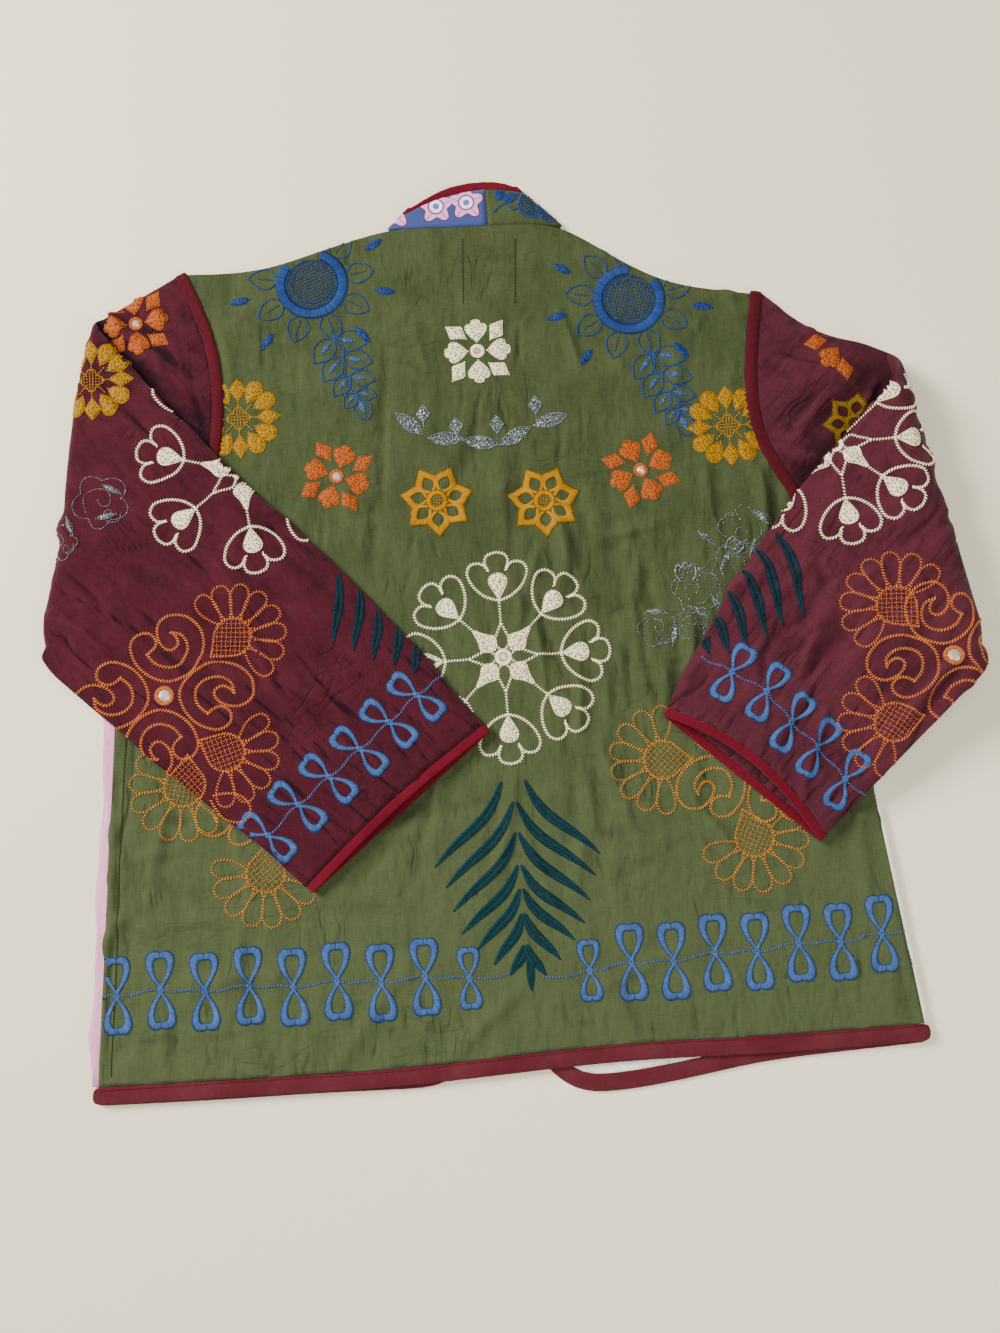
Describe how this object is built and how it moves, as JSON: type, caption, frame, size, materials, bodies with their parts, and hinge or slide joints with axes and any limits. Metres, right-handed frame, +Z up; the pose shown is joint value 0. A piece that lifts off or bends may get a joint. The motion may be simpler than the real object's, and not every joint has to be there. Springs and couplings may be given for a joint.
{
  "type": "quilted patchwork jacket laid flat",
  "caption": "Open-front quilted cotton jacket with a standing collar, lying face down with both sleeves folded over its embroidered back.",
  "frame": {"origin": "middle of the underside of the jacket's bounding box, on the surface it lies on", "axes": "+Y towards the collar along the centre-back line, +X towards the wearer's right, +Z up out of the surface"},
  "size_m": [0.6858, 0.679, 0.038],
  "materials": {
    "green_cotton": "crinkled quilted cotton, matt",
    "maroon_cotton": "crinkled quilted cotton, soft sheen",
    "rose_maroon_cotton": "crinkled quilted cotton, soft sheen",
    "pink_cotton": "plain cotton, matt",
    "cream_cotton": "plain cotton, matt",
    "printed_cotton": "printed cotton, matt",
    "hem_binding": "folded cotton bias binding",
    "red_binding": "folded cotton bias binding",
    "armhole_piping": "padded cotton piping",
    "embroidery_thread": "stranded cotton thread, soft sheen",
    "metallic_thread": "metallic thread, sparkling",
    "sewn_mirror": "small sewn-on mirror"
  },
  "bodies": {
    "root": {"back_panel": "green_cotton", "back_hem_binding": "hem_binding", "front_left": "pink_cotton", "front_left_binding": "hem_binding", "front_right": "cream_cotton", "front_right_binding": "hem_binding", "armhole_left_piping": "armhole_piping", "armhole_right_piping": "armhole_piping", "sleeve_left": "maroon_cotton", "sleeve_right": "rose_maroon_cotton", "cuff_left_binding": "red_binding", "cuff_right_binding": "red_binding", "collar_left": "printed_cotton", "collar_right": "green_cotton", "collar_binding": "red_binding"}
  },
  "joints": []
}
